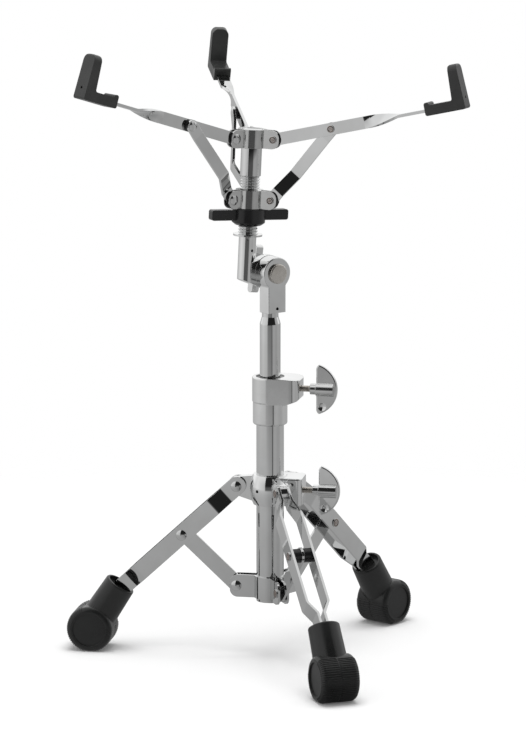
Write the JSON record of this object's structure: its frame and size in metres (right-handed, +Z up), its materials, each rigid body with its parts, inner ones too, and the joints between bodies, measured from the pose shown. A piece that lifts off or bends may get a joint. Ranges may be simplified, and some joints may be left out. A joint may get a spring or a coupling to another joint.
{
  "type": "snare drum stand",
  "caption": "Folding chrome stand with a braced tripod, a clamped telescoping rod, a tilter and a screw-closed arm basket that grips a snare drum by its rim",
  "frame": {"origin": "where the column's axis meets the floor", "axes": "+Z up along the column, the picture looks along +Y, +X to its right"},
  "size_m": [0.3667, 0.3857, 0.576],
  "materials": {
    "chrome": "polished chrome plate",
    "cast_chrome": "polished plated die casting",
    "plain_steel": "turned steel",
    "black_rubber": "matt moulded",
    "black_nylon": "satin moulded"
  },
  "bodies": {
    "base": {"base_tube": "chrome", "lower_bracket": "chrome", "lower_bracket_rivets": "chrome", "lower_bracket_washers": "black_nylon", "height_clamp": "cast_chrome", "clamp_bush": "black_nylon"},
    "height_knob": {"height_wing": "cast_chrome", "height_screw": "plain_steel"},
    "leg_collar": {"leg_collar": "cast_chrome", "collar_rivets": "chrome"},
    "leg_knob": {"leg_wing": "cast_chrome", "leg_screw": "plain_steel"},
    "rod_guide": {"rod_guide": "black_nylon"},
    "rod": {"upper_rod": "chrome", "tilter_lower": "cast_chrome", "tilter_bolt": "plain_steel"},
    "tilter_nut": {"tilter_nut": "cast_chrome"},
    "basket": {"tilter_upper": "cast_chrome", "post_washer": "chrome", "basket_post": "chrome", "upper_collar_hub": "chrome", "upper_collar_plates": "chrome", "upper_collar_rivets": "chrome", "upper_collar_washers": "black_nylon"},
    "lower_collar": {"lower_collar_hub": "chrome", "lower_collar_plates": "chrome", "lower_collar_rivets": "chrome", "lower_collar_washers": "black_nylon"},
    "basket_nut": {"basket_nut": "black_nylon"},
    "leg_1": {"leg_1_strips": "chrome", "leg_1_rivet": "chrome", "leg_1_spacers": "black_nylon", "leg_1_foot": "black_rubber"},
    "brace_1": {"leg_1_brace": "chrome"},
    "arm_1": {"arm_1": "chrome", "arm_1_rivet": "chrome", "arm_1_washer": "black_nylon", "arm_1_holder": "black_rubber"},
    "strut_1": {"arm_1_strut": "chrome"},
    "leg_2": {"leg_2_strips": "chrome", "leg_2_rivet": "chrome", "leg_2_spacers": "black_nylon", "leg_2_foot": "black_rubber"},
    "brace_2": {"leg_2_brace": "chrome"},
    "arm_2": {"arm_2": "chrome", "arm_2_rivet": "chrome", "arm_2_washer": "black_nylon", "arm_2_holder": "black_rubber"},
    "strut_2": {"arm_2_strut": "chrome"},
    "leg_3": {"leg_3_strips": "chrome", "leg_3_rivet": "chrome", "leg_3_spacers": "black_nylon", "leg_3_foot": "black_rubber"},
    "brace_3": {"leg_3_brace": "chrome"},
    "arm_3": {"arm_3": "chrome", "arm_3_rivet": "chrome", "arm_3_washer": "black_nylon", "arm_3_holder": "black_rubber"},
    "strut_3": {"arm_3_strut": "chrome"}
  },
  "joints": [
    {"name": "leg_fold", "type": "hinge", "parent": "base", "child": "brace_1", "pos_m": [-0.03031, 0.00549, 0.06655], "axis": [0.1783, 0.984, 0], "range_deg": [-8, 38]},
    {"name": "leg_1_mid", "type": "hinge", "parent": "brace_1", "child": "leg_1", "pos_m": [-0.07988, 0.01447, 0.11345], "axis": [0.1783, 0.984, 0], "range_deg": [-76, 16]},
    {"name": "leg_1_top", "type": "hinge", "parent": "leg_1", "child": "leg_collar", "pos_m": [-0.03031, 0.00549, 0.16035], "axis": [0.1783, 0.984, 0], "range_deg": [-8, 38]},
    {"name": "leg_2_top", "type": "hinge", "parent": "leg_collar", "child": "leg_2", "pos_m": [0.0104, -0.02899, 0.16035], "axis": [-0.9413, -0.3376, 0], "range_deg": [-38, 8]},
    {"name": "brace_2_foot", "type": "hinge", "parent": "base", "child": "brace_2", "pos_m": [0.0104, -0.02899, 0.06655], "axis": [-0.9413, -0.3376, 0], "range_deg": [-8, 38]},
    {"name": "leg_3_top", "type": "hinge", "parent": "leg_collar", "child": "leg_3", "pos_m": [0.01991, 0.0235, 0.16035], "axis": [0.763, -0.6464, 0], "range_deg": [-38, 8]},
    {"name": "brace_3_foot", "type": "hinge", "parent": "base", "child": "brace_3", "pos_m": [0.01991, 0.0235, 0.06655], "axis": [0.763, -0.6464, 0], "range_deg": [-8, 38]},
    {"name": "leg_knob_turn", "type": "hinge", "parent": "leg_collar", "child": "leg_knob", "pos_m": [0.03119, -0.00567, 0.1585], "axis": [0.9839, -0.1788, 0], "continuous": true},
    {"name": "height_knob_turn", "type": "hinge", "parent": "base", "child": "height_knob", "pos_m": [0.02884, -0.00666, 0.25375], "axis": [0.9744, -0.225, 0], "continuous": true},
    {"name": "height_slide", "type": "slide", "parent": "base", "child": "rod_guide", "axis": [0, 0, 1], "range_m": [-0.045, 0.1]},
    {"name": "rod_swivel", "type": "hinge", "parent": "rod_guide", "child": "rod", "pos_m": [0, 0, 0.11805], "axis": [0, 0, 1], "continuous": true},
    {"name": "basket_tilt", "type": "hinge", "parent": "rod", "child": "basket", "pos_m": [0, 0, 0.3605], "axis": [0.5878, -0.809, 0], "range_deg": [-45, 30]},
    {"name": "tilter_nut_turn", "type": "hinge", "parent": "rod", "child": "tilter_nut", "pos_m": [0, 0, 0.3605], "axis": [0.5878, -0.809, 0], "continuous": true},
    {"name": "collar_lift", "type": "slide", "parent": "basket", "child": "lower_collar", "axis": [0.045, 0.0327, 0.9985], "range_m": [-0.006, 0.005]},
    {"name": "basket_nut_turn", "type": "hinge", "parent": "lower_collar", "child": "basket_nut", "pos_m": [-0.01896, -0.00018, 0.42836], "axis": [0.045, 0.0327, 0.9985], "range_deg": [-864.5, 720.5]},
    {"name": "arm_1_hinge", "type": "hinge", "parent": "basket", "child": "arm_1", "pos_m": [-0.02033, 0.02247, 0.48317], "axis": [0.9823, 0.1806, -0.0502], "range_deg": [-8, 6.7]},
    {"name": "strut_1_hinge", "type": "hinge", "parent": "lower_collar", "child": "strut_1", "pos_m": [-0.02282, 0.02066, 0.42786], "axis": [0.9823, 0.1806, -0.0502], "range_deg": [-1.7, 1.4]},
    {"name": "arm_2_hinge", "type": "hinge", "parent": "basket", "child": "arm_2", "pos_m": [-0.03257, -0.0121, 0.48486], "axis": [-0.6487, 0.761, 0.0043], "range_deg": [-8, 6.7]},
    {"name": "strut_2_hinge", "type": "hinge", "parent": "lower_collar", "child": "strut_2", "pos_m": [-0.03507, -0.01392, 0.42954], "axis": [-0.6487, 0.761, 0.0043], "range_deg": [-1.7, 1.4]},
    {"name": "arm_3_hinge", "type": "hinge", "parent": "basket", "child": "arm_3", "pos_m": [0.00349, -0.00547, 0.48301], "axis": [-0.3336, -0.9416, 0.0459], "range_deg": [-8, 6.7]},
    {"name": "strut_3_hinge", "type": "hinge", "parent": "lower_collar", "child": "strut_3", "pos_m": [0.001, -0.00729, 0.4277], "axis": [-0.3336, -0.9416, 0.0459], "range_deg": [-1.7, 1.4]}
  ],
  "couplings": [
    {"joint": "leg_1_mid", "follows": "leg_fold", "ratio": -2},
    {"joint": "leg_1_top", "follows": "leg_fold", "ratio": 1},
    {"joint": "leg_2_top", "follows": "leg_fold", "ratio": -1},
    {"joint": "brace_2_foot", "follows": "leg_fold", "ratio": 1},
    {"joint": "leg_3_top", "follows": "leg_fold", "ratio": -1},
    {"joint": "brace_3_foot", "follows": "leg_fold", "ratio": 1},
    {"joint": "basket_nut_turn", "follows": "collar_lift", "rad_per_m": 2513.3},
    {"joint": "arm_1_hinge", "follows": "collar_lift", "rad_per_m": 22.915},
    {"joint": "strut_1_hinge", "follows": "collar_lift", "rad_per_m": 4.4865},
    {"joint": "arm_2_hinge", "follows": "collar_lift", "rad_per_m": 22.915},
    {"joint": "strut_2_hinge", "follows": "collar_lift", "rad_per_m": 4.4865},
    {"joint": "arm_3_hinge", "follows": "collar_lift", "rad_per_m": 22.915},
    {"joint": "strut_3_hinge", "follows": "collar_lift", "rad_per_m": 4.4865}
  ]
}
